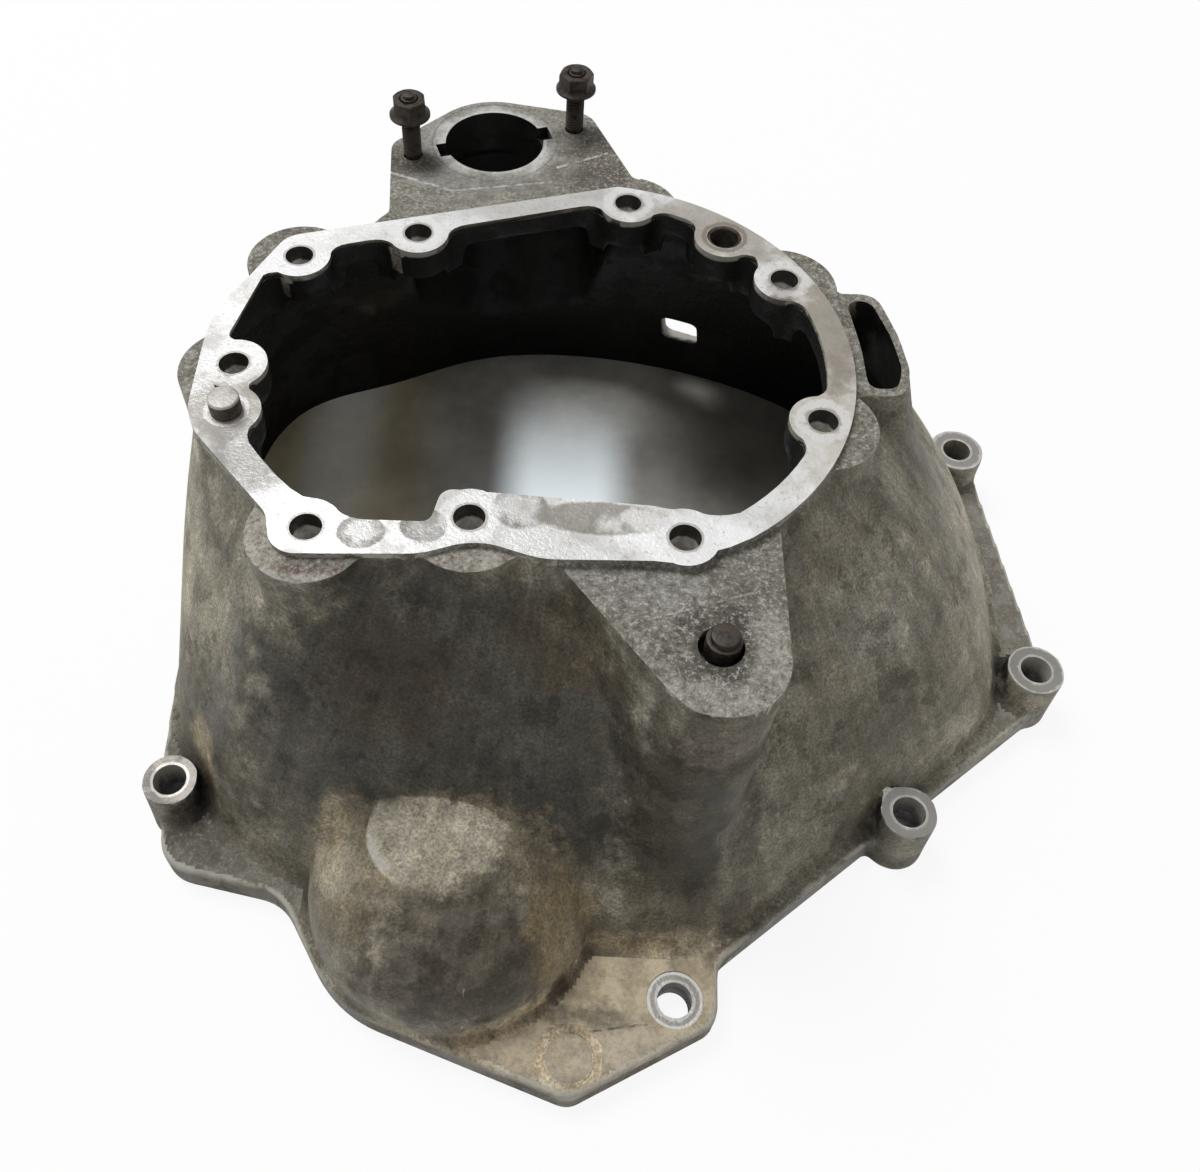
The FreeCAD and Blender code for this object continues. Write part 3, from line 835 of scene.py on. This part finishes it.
# %% Stains on the cast skin, from large to small
SKIN_STAINS = [
    # Painted highlight: the left wall is paler where the light falls on it
    ((-165, -20, 75), (42, 90, 68), 0.4, 0.5, (0.52, 0.49, 0.39), 0.85),  # pale left wall
    ((-150, -70, 100), (22, 40, 45), 0.4, 0.6, (0.3, 0.285, 0.225), 0.6),
    # Painted highlight towards the right edge
    ((175, 0, 45), (50, 90, 50), 0.4, 0.5, (0.5, 0.465, 0.385), 0.85),  # pale right edge
    ((110, -85, 85), (60, 60, 60), 0.4, 0.5, (0.23, 0.213, 0.17), 0.7),
    # The lighter patch on the cone is a painted highlight
    ((115, -75, 95), (34, 24, 22), 0.35, 0.7, (0.32, 0.31, 0.28), 0.6),  # rubbed cone
    ((105, -95, 60), (36, 24, 16), 0.4, 0.8, (0.1, 0.092, 0.068), 0.6),
    ((-42, -135, 85), (84, 66, 72), 0.26, 0.35, (0.074, 0.071, 0.059), 0.96),  # oil on the front wall
    ((-62, -125, 105), (24, 30, 22), 0.4, 0.7, (0.07, 0.048, 0.032), 0.6),
    ((10, -110, 118), (30, 20, 16), 0.4, 0.8, (0.1, 0.078, 0.05), 0.6),
    ((-25, -150, 62), (30, 20, 18), 0.4, 0.8, (0.035, 0.033, 0.028), 0.7),
    ((-100, -130, 60), (26, 30, 26), 0.4, 0.7, (0.115, 0.11, 0.09), 0.6),
    ((-140, -106, 40), (36, 40, 34), 0.4, 0.5, (0.085, 0.08, 0.06), 0.85),
    ((46, -160, 75), (30, 34, 66), 0.3, 0.4, (0.057, 0.05, 0.036), 0.9),  # column under the pivot
    ((62, -155, 60), (6, 12, 50), 0.5, 0.7, (0.26, 0.245, 0.2), 0.6),  # its rubbed crease
    ((48, -150, 122), (18, 9, 9), 0.4, 0.9, (0.2, 0.18, 0.145), 0.6),
    ((35, -170, 18), (42, 26, 20), 0.4, 0.5, (0.16, 0.14, 0.103), 0.8),
    ((15, -205, 14), (70, 30, 12), 0.3, 0.4, (0.66, 0.56, 0.4), 0.88),  # pale engine flange
    ((50, -195, 14), (26, 20, 12), 0.4, 0.5, (0.44, 0.39, 0.3), 0.7),
    ((-41, -175, 36), (54, 46, 34), 0.25, 0.5, (0.23, 0.2, 0.145), 0.85),  # dome
    ((-60, -205, 36), (24, 24, 22), 0.4, 0.8, (0.17, 0.155, 0.12), 0.6),
    ((-33, -196, 42), (34, 24, 26), 0.3, 0.7, (0.06, 0.048, 0.034), 0.92),
    ((-74, -156, 48), (5, 14, 8), 0.3, 0.5, (0.07, 0.06, 0.045), 0.8),
    ((-80, -160, 46), (12, 26, 18), 0.4, 0.6, (0.33, 0.295, 0.22), 0.75),
    # The dome's flat top is lighter for wear and for a painted highlight where it faces the light
    ((-46, -157, 57), (26, 21, 6), 0.12, 0.25, (0.46, 0.43, 0.36), 0.92),  # worn flat top
    ((-45, -137, 58), (30, 5, 7), 0.3, 0.7, (0.42, 0.36, 0.24), 0.8),  # crust in the crease
    ((-84, -150, 44), (7, 18, 14), 0.35, 0.5, (0.4, 0.35, 0.25), 0.8),
    ((-4, -178, 30), (12, 20, 20), 0.4, 0.5, (0.34, 0.27, 0.15), 0.85),
    ((-145, -118, 38), (9, 16, 12), 0.4, 0.7, (0.36, 0.31, 0.215), 0.8),  # crust behind the left lug
    ((-146, -124, 24), (8, 10, 12), 0.4, 0.6, (0.06, 0.042, 0.026), 0.85),
    ((-1, -197, 16), (6, 5, 7), 0.4, 0.5, (0.05, 0.04, 0.028), 0.85),
    ((-20, -190, 3), (240, 120, 9), 0.25, 0.3, (0.1, 0.088, 0.064), 0.85),  # dark edge of the flange
]
SKIN_SCRATCHES = [
    ((-32, -204, 48), (-33, -216, 22), 0.5, (0.45, 0.42, 0.36), 0.8),
    ((92, -92, 100), (118, -84, 70), 0.5, (0.4, 0.39, 0.35), 0.7),
    ((80, -105, 84), (112, -100, 62), 0.4, (0.4, 0.39, 0.35), 0.6),
]

# %% Cast skin
skin, main = new_material("cast_skin")
place = object_place()
opening = stored("open")
ridge = stored("ridge")
cast = use_group("cast_grain", Place=place)
broad = use_group("streaks", Place=place, Fine=1.0)["Mask"]
narrow = use_group("streaks", Place=place, Fine=2.2)["Mask"]
smears = between(noise(place, 38, 6, 0.68), 0.42, 0.6)
crust = between(noise(place, 210, 5, 0.7), 0.58, 0.68)
colour = blend(cast["Clouds"], (0.17, 0.16, 0.128), (0.31, 0.295, 0.243))
colour = lay_stains(place, colour, SKIN_STAINS)
colour = tint(broad, 0.5, colour, (0.55, 0.53, 0.48))
colour = tint(smears, 0.65, colour, (0.5, 0.48, 0.43))
colour = tint(narrow, 0.25, colour, (1.7, 1.66, 1.55))
colour = tint(cast["Patches"], 0.5, colour, (0.6, 0.57, 0.5))
colour = tint(crust, 0.4, colour, (1.9, 1.75, 1.45))
speckle = blend(cast["Grain"], (0.75, 0.73, 0.7), (1.65, 1.65, 1.65))
colour = blend(1.0, colour, speckle, "MULTIPLY")
scuffs = noise(place, 62, 8, 0.74)
colour = tint(between(scuffs, 0.53, 0.6), 0.7, colour, (0.42, 0.4, 0.36))
colour = tint(between(scuffs, 0.44, 0.37), 0.6, colour, (1.75, 1.7, 1.6))
colour = lay_scratches(place, colour, SKIN_SCRATCHES)
# Hollows get grime and painted shade, darker the deeper they sit
colour = cover(between(ridge, -0.08, -0.6), 0.55, colour, (0.085, 0.065, 0.042))
# Where the point sees little sky, dirt and painted shade darken the skin
colour = cover(between(opening, 0.85, 0.45), 0.7, colour, (0.035, 0.03, 0.023))
# Edges are lighter for wear and for a painted highlight along them
rubbed_and_highlit = times(between(ridge, 0.06, 0.5), between(smears, 0.9, 0.3, 0.15, 1.0))
colour = cover(rubbed_and_highlit, 0.8, colour, (0.48, 0.46, 0.41))
# Painted shade: almost black where the point sees little of the sky, as deep inside the bell
colour = cover(between(opening, 0.58, 0.36), 1.0, colour, (0.007, 0.0068, 0.006))
finish(main, colour, between(smears, 0, 1, 0.72, 0.46), bump(cast["Height"], 0.0012))
feed(main["Specular IOR Level"], 0.35)

# %% [markdown]
# The flat cast tops of the pads, lobes and engine flange are coarser and paler. Sand grain
# shows as grey and white specks, and oil has pooled in places.

# %% Stains on the cast tops
TOP_STAINS = [
    ((30, -100, 141), (55, 12), 0.5, 0.6, (0.2, 0.185, 0.155), 0.6),
    ((47, -124, 141), (17, 15), 0.35, 0.8, (0.07, 0.062, 0.047), 0.8),  # oil round the pivot
    ((18, -103, 141), (26, 8), 0.4, 0.7, (0.4, 0.39, 0.36), 0.6),
    ((40, -144, 141), (26, 6), 0.4, 0.8, (0.44, 0.42, 0.37), 0.7),  # rubbed nose
    ((62, -130, 141), (7, 18), 0.4, 0.8, (0.5, 0.48, 0.43), 0.8),
    ((-42, 132, 142), (33, 31), 0.1, 0.3, (0.42, 0.41, 0.38), 0.85),  # band round the bore
    ((-42, 130, 142), (27, 26), 0.1, 0.25, (0.72, 0.71, 0.68), 0.85),
    ((-60, 104, 142), (22, 5), 0.3, 0.7, (0.62, 0.61, 0.58), 0.75),
    ((-77, 115, 142), (14, 9), 0.4, 0.7, (0.08, 0.065, 0.047), 0.8),
    ((-8, 136, 142), (12, 12), 0.4, 0.7, (0.1, 0.085, 0.065), 0.6),
    ((-45, 104, 142), (34, 8), 0.5, 0.7, (0.28, 0.27, 0.24), 0.7),
    ((5, 112, 142), (12, 18), 0.5, 0.7, (0.13, 0.11, 0.085), 0.8),
    ((-92, -104, 142), (18, 3), 0.4, 0.8, (0.2, 0.12, 0.095), 0.6),
    ((-110, -92, 142), (14, 14), 0.4, 0.7, (0.62, 0.58, 0.5), 0.8),
    ((-36, -97, 142), (22, 6), 0.4, 0.7, (0.5, 0.47, 0.41), 0.7),
    ((-92, -107, 142), (20, 3), 0.4, 0.7, (0.6, 0.57, 0.52), 0.8),
    ((-20, -185, 14), (50, 24), 0.4, 0.6, (0.16, 0.13, 0.085), 0.7),
    ((60, -175, 14), (20, 20), 0.4, 0.6, (0.2, 0.17, 0.12), 0.6),
    ((40, -176, 14), (40, 8), 0.4, 0.6, (0.12, 0.1, 0.07), 0.75),  # dirt along the wall's foot
    ((20, -204, 14), (64, 28), 0.3, 0.6, (0.74, 0.62, 0.43), 0.85),
    ((30, -217, 14), (26, 10), 0.4, 0.8, (0.64, 0.56, 0.43), 0.7),
    ((16, -206, 14), (16, 4), 0.4, 0.9, (0.1, 0.085, 0.06), 0.6),
    ((-140, -135, 14), (24, 26), 0.4, 0.6, (0.13, 0.118, 0.09), 0.8),
]
TOP_SCRATCHES = [
    ((-86, 108, 142), (-58, 97, 142), 1.0, (0.85, 0.84, 0.8), 0.8),
    ((-58, 97, 142), (-16, 106, 142), 0.8, (0.75, 0.74, 0.7), 0.7),
    ((-14, 116, 142), (8, 128, 142), 0.9, (0.85, 0.84, 0.8), 0.8),
    ((18, -117, 141), (60, -102, 141), 0.5, (0.6, 0.58, 0.54), 0.8),
    ((-20, -98, 141), (26, -141, 141), 0.7, (0.5, 0.48, 0.44), 0.6),
    ((4, -213, 14), (34, -208, 14), 0.6, (0.08, 0.065, 0.045), 0.7),
]

# %% Cast tops
cast_top, main = new_material("cast_top")
place = object_place()
cast = use_group("cast_grain", Place=place)
colour = blend(cast["Clouds"], (0.25, 0.235, 0.195), (0.36, 0.34, 0.29))
colour = lay_stains(place, colour, TOP_STAINS)
colour = lay_scratches(place, colour, TOP_SCRATCHES)
colour = lay_rims(place, colour, [
    ([CAST_DISC], 9.3, 0.7, (0.07, 0.058, 0.04), 0.75),
    ([CAST_DISC], 8.2, 0.6, (0.5, 0.46, 0.38), 0.6),
    ([BORE], 22.4, 0.8, (0.75, 0.74, 0.71), 0.7),
    ([BORE], 27.4, 0.5, (0.16, 0.15, 0.13), 0.5),
])
patchy = between(noise(place, 120, 6, 0.7), 0.4, 0.6)
colour = tint(patchy, 0.55, colour, (0.45, 0.42, 0.37))
specks = noise(place, 620, 5, 0.8)
rough = between(split_xyz(place)[2], 0.05, 0.1, 0.25, 0.7)
smooth_band = use_group("stain", Place=place, Centre=Vector((-42, 126, 142)) * MM,
                        Size=Vector((44, 36, 9)) * MM, Edge=0.2, Wobble=0.4)["Mask"]
rough = minus(rough, times(smooth_band, 0.4))
colour = cover(between(specks, 0.5, 0.64), rough, colour, (0.7, 0.68, 0.64))
colour = cover(between(specks, 0.47, 0.36), rough, colour, (0.06, 0.053, 0.04))
finish(main, colour, between(cast["Patches"], 0, 1, 0.45, 0.75), bump(specks, 0.001))
feed(main["Specular IOR Level"], 0.4)

# %% Stains on the milled faces
FACE_STAINS = [
    ((96, 5, 145), (28, 72), 0.35, 0.6, (0.64, 0.6, 0.53), 0.85),
    ((95, 20, 145), (10, 30), 0.4, 0.8, (0.27, 0.235, 0.19), 0.7),
    ((50, 76, 145), (34, 22), 0.4, 0.6, (0.42, 0.39, 0.335), 0.8),
    ((-20, 88, 145), (46, 12), 0.4, 0.6, (0.52, 0.51, 0.49), 0.7),
    ((-127, -36, 145), (17, 18), 0.4, 0.7, (0.4, 0.375, 0.33), 0.8),
    ((-155, -126, 28), (15, 15), 0.3, 0.5, (0.24, 0.225, 0.2), 0.9),
    ((-116, -62, 145), (14, 20), 0.5, 0.7, (0.38, 0.37, 0.35), 0.9),
    ((40, -88, 145), (28, 13), 0.4, 0.6, (1, 1, 1), 0.85),
    ((78, 40, 145), (6, 8), 0.4, 0.9, (0.12, 0.08, 0.055), 0.8),
    ((-72.5, -88, 145), (8.2, 7), 0.07, 0.1, (0.26, 0.25, 0.23), 0.95),
    ((-72.5, -88, 145), (6, 5), 0.5, 1.6, (0.78, 0.78, 0.77), 0.75),
    ((-52, -84, 145), (8.2, 7), 0.07, 0.1, (0.22, 0.21, 0.19), 0.95),
    ((-52, -84, 145), (6, 5), 0.5, 1.6, (0.55, 0.55, 0.53), 0.6),
    ((-20, -75, 145), (9.4, 9), 0.07, 0.1, (0.26, 0.25, 0.23), 0.95),
    ((-20, -75, 145), (7.5, 7), 0.5, 1.6, (0.75, 0.75, 0.74), 0.75),
    ((8, -77.5, 145), (22, 7), 0.1, 0.2, (0.3, 0.285, 0.25), 0.9),
    ((20, -77, 145), (10, 5.5), 0.5, 1.5, (0.85, 0.84, 0.82), 0.8),
]

# %% Milled faces
milled, main = new_material("milled")
place = object_place()
cast = use_group("cast_grain", Place=place)
colour = blend(cast["Clouds"], (1, 1, 1), (0.72, 0.72, 0.71))
colour = lay_stains(place, colour, FACE_STAINS)
worn = between(noise(place, 60, 7, 0.72), 0.45, 0.62)
colour = tint(worn, 0.6, colour, (0.6, 0.585, 0.55))
colour = lay_rims(place, colour, [
    (TALL_LUGS + FLAT_LUGS, 9.2, 3.6, (0.2, 0.185, 0.16), 0.8),
    (TALL_LUGS, 11.6, 0.7, (0.62, 0.6, 0.56), 0.8),
    (TALL_LUGS + FLAT_LUGS, 7.1, 0.6, (0.6, 0.58, 0.54), 0.7),
    (FLAT_LUGS, 10, 0.8, (0.8, 0.78, 0.74), 0.7),
    (FACE_BOLTS, 8.6, 2.4, (0.86, 0.86, 0.86), 0.5),
    (FACE_BOLTS, 5.9, 0.6, (0.3, 0.27, 0.23), 0.6),
    ([SLEEVE], 8.3, 1.2, (0.16, 0.11, 0.075), 0.6),
    ([PIN], 7.4, 0.9, (0.82, 0.81, 0.79), 0.7),
])
pits = between(noise(place, 420, 5, 0.75), 0.55, 0.68)
colour = cover(pits, 0.45, colour, (0.25, 0.23, 0.2))
finish(main, colour, between(worn, 0, 1, 0.34, 0.55), bump(noise(place, 900, 3, 0.6), 0.0002))
feed(main["Metallic"], 0.25)

# %% Walls of the bolt holes: painted shade at the mouth, painted light further down
hole_wall, main = new_material("hole_wall")
place = object_place()
mottled = between(noise(place, 300, 4, 0.6), 0.35, 0.65)
# The lower wall is painted pale as if lit, and the mouth near black as painted shade
mouth = between(plus(split_xyz(place)[2], times(mottled, 0.0006)), 0.138, 0.1395)
painted_light_below = blend(mottled, (0.9, 0.89, 0.86), (0.6, 0.57, 0.52))
colour = blend(mouth, painted_light_below, (0.035, 0.028, 0.022))
finish(main, colour, between(mottled, 0, 1, 0.35, 0.6), bump(noise(place, 700, 3, 0.6), 0.0003))

# %% Give the faces of the casting their finishes
def give(test, number, obj=casting):
    """Give the faces that pass the test the finish in this slot."""
    pick_faces(obj, test)
    obj.active_material_index = number
    bpy.ops.object.material_slot_assign()
    bpy.ops.object.mode_set(mode="OBJECT")


def at_height(centre, *heights):
    return any(abs(centre.z - height) < 0.3 * MM for height in heights)


casting.data.materials.clear()
for material in (skin, cast_top, milled, hole_wall):
    casting.data.materials.append(material)
give(lambda centre, normal: True, 0)
give(lambda centre, normal: normal.z > 0.995
     and at_height(centre, PIVOT_PAD, CLUTCH_PAD, LOBE_TOP, PLATE_TOP, PLATE_TOP + 1.2 * MM), 1)
give(lambda centre, normal: abs(normal.z) > 0.999
     and at_height(centre, 0, GEARBOX_FACE, LUG_TOP, SPOT_FACE), 2)


def plate_side(centre, normal):
    """Side faces of the plate, all but those beside the clutch pad."""
    return abs(normal.z) < 0.95 and centre.y < 0.103 and math.hypot(centre.x, centre.y) < 0.145


def faces_out(centre, normal):
    """Faces that look away from the shaft."""
    return normal.x * centre.x + normal.y * centre.y > 0


def in_bolt_hole(centre, normal):
    """Walls of the bolt holes in the gearbox face."""
    return centre.z > 123 * MM and abs(normal.z) < 0.3 and any(
        math.hypot(centre.x - x * MM, centre.y - y * MM) < BOLT_HOLE + 0.1 * MM for x, y in FACE_BOLTS)


# The plate's outer sides are as cast, and only the bevel along its top is bright
give(lambda centre, normal: centre.z > 142.7 * MM and plate_side(centre, normal)
     and faces_out(centre, normal), 1)
give(lambda centre, normal: centre.z > 144.4 * MM and plate_side(centre, normal), 2)
give(in_bolt_hole, 3)

# %% [markdown]
# ## Studs, nuts, dowels and the fork pivot
#
# These steel pieces are turned or forged. The studs get a real thread: a tooth climbs round
# the core, one pitch a turn.

# %% Old steel
def old_steel(name, dark, light, rust_share):
    """Oily brown steel with lighter rubs and rust."""
    material, main = new_material(name)
    place = object_place()
    clouds = between(noise(place, 260, 4, 0.65), 0.35, 0.65)
    rust = between(noise(place, 520, 4, 0.7), 0.48, 0.62)
    colour = blend(clouds, dark, light)
    colour = cover(rust, rust_share, colour, (0.085, 0.045, 0.024))
    finish(main, colour, between(clouds, 0, 1, 0.42, 0.65), bump(noise(place, 900, 3, 0.6), 0.0002))
    feed(main["Metallic"], 0.4)
    return material


steel = old_steel("old_steel", (0.022, 0.018, 0.014), (0.075, 0.064, 0.052), 0.5)
pin_side = old_steel("pin_side", (0.05, 0.035, 0.028), (0.13, 0.1, 0.085), 0.6)
pin_top = old_steel("pin_top", (0.4, 0.38, 0.35), (0.62, 0.6, 0.57), 0.2)


# %% A finished steel piece
def finish_steel(obj, name, node, steel):
    """Name the piece, give it its finish and let it take the solid's place."""
    obj.name = name
    obj.data.materials.clear()
    obj.data.materials.append(steel)
    only(obj)
    bpy.ops.object.shade_smooth_by_angle(angle=math.radians(30))
    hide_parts(node)
    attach(obj, "root")


def bevelled_disc(centre, radius, bottom, top, bevel, segments=2, sides=64):
    """An upright cylinder with eased edges."""
    obj = disc(centre, radius, bottom, top, sides)
    apply_modifier(obj, "BEVEL", width=bevel, segments=segments, limit_method="ANGLE",
                   angle_limit=math.radians(40))
    return obj


# %% [markdown]
# The thread starts as one small triangle beside the stud's axis. The Screw modifier turns it
# round and lifts it by one pitch for each turn.

# %% Threaded studs
PITCH = 1.25 * MM
STUD_TOP = 171 * MM


def thread(centre, core, crest, bottom, top):
    """A helical tooth from bottom to top, with its root a little inside the core."""
    bpy.ops.mesh.primitive_circle_add(vertices=3, radius=1, fill_type="NGON")
    tooth = bpy.context.object
    corners = ((core - 0.2 * MM, -0.45 * PITCH), (crest, 0), (core - 0.2 * MM, 0.45 * PITCH))
    for vertex, (across, height) in zip(tooth.data.vertices, corners):
        vertex.co = (across, 0, bottom + height)
    turns = int((top - bottom) / PITCH)
    apply_modifier(tooth, "SCREW", angle=2 * math.pi, screw_offset=PITCH, iterations=turns, steps=24,
                   render_steps=24, use_merge_vertices=True)
    tooth.location = (centre[0] * MM, centre[1] * MM, 0)
    apply_place(tooth)
    edit_all(tooth, bpy.ops.mesh.normals_make_consistent, inside=False)
    return tooth


def stud(centre):
    """An M8 stud: a core with a bevelled tip, and its thread."""
    core = bevelled_disc(centre, 3.45 * MM, 134 * MM, STUD_TOP - 1.4 * MM, 0.5 * MM, sides=32)
    carve(core, bevelled_disc(centre, 2.5 * MM, 0.16, STUD_TOP, 0.5 * MM, sides=32), "UNION")
    return join([core, thread(centre, 3.45 * MM, 3.98 * MM, 143.2 * MM, STUD_TOP - 2.4 * MM)])


for side, centre in zip(("left", "right"), STUDS):
    finish_steel(stud(centre), "stud_" + side, "clutch_stud_" + side, steel)

# %% [markdown]
# A flange nut is a six-sided bar on a round foot. Its top corners are turned off by a cone.

# %% Flange nuts
def flange_nut(centre, turn):
    """A flange nut with its foot at z = 161.2 mm."""
    body = disc((0, 0), 13 / math.sqrt(3) * MM, 161.6 * MM, 169 * MM, sides=6)
    body.rotation_euler.z = math.radians(turn)
    apply_place(body)
    carve(body, cone((0, 0), 166 * MM, 8 * MM, 13.4 * MM, 5.6 * MM), "INTERSECT")
    foot = cone((0, 0), 163.1 * MM, 2.2 * MM, 8.6 * MM, 6.3 * MM)
    carve(foot, disc((0, 0), 8.6 * MM, 161.2 * MM, 162.1 * MM), "UNION")
    carve(body, foot, "UNION")
    carve(body, disc((0, 0), STUD_HOLE, 150 * MM, 180 * MM, sides=32))
    apply_modifier(body, "BEVEL", width=0.25 * MM, segments=2, limit_method="ANGLE",
                   angle_limit=math.radians(35))
    body.location = (centre[0] * MM, centre[1] * MM, 0)
    return apply_place(body)


for side, centre, turn in zip(("left", "right"), STUDS, (10, 38)):
    finish_steel(flange_nut(centre, turn), "nut_" + side, "clutch_nut_" + side, steel)

# %% [markdown]
# The locating pin is bright on top and brown on its side. The sleeve is a short tube sunk in
# the face, and the fork pivot is a stub with a smaller round tip.

# %% Pin, sleeve and pivot
locating = bevelled_disc(PIN, 5.7 * MM, 136 * MM, 151.8 * MM, 0.9 * MM, segments=3)
finish_steel(locating, "locating_pin", "locating_pin", pin_side)
locating.data.materials.append(pin_top)
give(lambda centre, normal: centre.z > 150.85 * MM, 1, locating)

sleeve = bevelled_disc(SLEEVE, 7 * MM, 134.5 * MM, 144.4 * MM, 0.4 * MM)
carve(sleeve, disc(SLEEVE, SLEEVE_HOLE, 0.13, OVER))
finish_steel(sleeve, "dowel_sleeve", "dowel_sleeve", steel)

pivot = bevelled_disc(PIVOT, 6 * MM, 123.2 * MM, 143 * MM, 0.5 * MM)
carve(pivot, bevelled_disc(PIVOT, 4.65 * MM, 0.142, 145.4 * MM, 0.5 * MM), "UNION")
finish_steel(pivot, "fork_pivot", "fork_pivot", steel)

# %% [markdown]
# ## Floor and light
#
# The floor is white and takes the housing's shadow. Most of the light comes from above and
# a little from behind, so the flat faces are bright and the front wall stays darker.

# %% Floor
bpy.ops.mesh.primitive_plane_add(size=8, location=(0, 0, 0))
floor = bpy.context.object
floor.name = "floor"
floor_finish, main = new_material("floor")
place = object_place()
x, y = split_xyz(place)[:2]
across = maths("POWER", maths("ABSOLUTE", over(minus(x, 0.012), 0.18)), 3)
along = maths("POWER", maths("ABSOLUTE", over(plus(y, 0.012), 0.168)), 3)
under = between(plus(across, along), 0.93, 1.0, 1.0, 0.0)
slant = minus(times(x, 0.62), times(y, 0.78))
under = times(under, between(slant, 0.17, 0.175, 1.0, 0.0))
# Under the housing the floor is painted darker as shade, darker still to the right, with a warm painted
# light to the left
clouds = between(noise(place, 26, 5, 0.6), 0.3, 0.7)
floor_painted_shade_and_light = blend(clouds, (0.78, 0.76, 0.7), (0.5, 0.485, 0.43))
floor_painted_shade_and_light = tint(between(x, 0.03, 0.09), 1.0, floor_painted_shade_and_light, (0.45, 0.44, 0.42))
floor_painted_shade_and_light = tint(between(x, -0.05, -0.1), 1.0, floor_painted_shade_and_light, (1.25, 1.1, 0.8))
feed(main["Base Color"], blend(under, (0.92, 0.92, 0.92), floor_painted_shade_and_light))
feed(main["Roughness"], 0.8)
floor.data.materials.append(floor_finish)

# %% [markdown]
# Through the opening the floor shows a soft bright reflection. For the camera alone, the
# floor gives off a little light of its own there, and around the housing it is pure white.

# %% Glow of the floor
def band(centre, inner, outer):
    """A soft bright band across the floor, centred on one x."""
    off = maths("ABSOLUTE", minus(x, centre))
    return between(off, inner, outer, 1, 0)


glow = times(band(-0.004, 0.014, 0.04), between(y, 0.13, 0.03))
glow = times(glow, between(y, -0.11, 0.0))
glow = plus(times(glow, 0.84), times(band(-0.118, 0.004, 0.03), 0.05))
glow = times(glow, under)
rays = new_node("LightPath").outputs
seen = plus(rays["Is Camera Ray"], rays["Is Glossy Ray"], clamp=True)
seen = plus(seen, rays["Is Transmission Ray"], clamp=True)
outside = times(minus(1.0, under), 0.9)
white = new_node("Emission")
feed(white.inputs["Color"], blend(under, (1, 1, 1), (0.88, 0.96, 1)))
mix = new_node("MixShader")
feed(mix.inputs[0], times(seen, plus(outside, glow)))
feed(mix.inputs[1], tree.nodes["Principled BSDF"].outputs[0])
feed(mix.inputs[2], white.outputs[0])
feed(tree.nodes["Material Output"].inputs[0], mix.outputs[0])

# %% World and lamp
world = bpy.data.worlds.new("world")
bpy.context.scene.world = world
world.use_nodes = True
world.node_tree.nodes["Background"].inputs["Color"].default_value = (1, 1, 1, 1)
world.node_tree.nodes["Background"].inputs["Strength"].default_value = 0.4
bpy.ops.object.light_add(type="AREA", location=(-1.2, 1.0, 3.0))
lamp = bpy.context.object
lamp.name = "lamp"
lamp.data.shape = "DISK"
lamp.data.size = 1.6
lamp.data.energy = 72
lamp.rotation_euler = lamp.location.to_track_quat("Z", "Y").to_euler()
bpy.context.scene.view_settings.view_transform = "Standard"
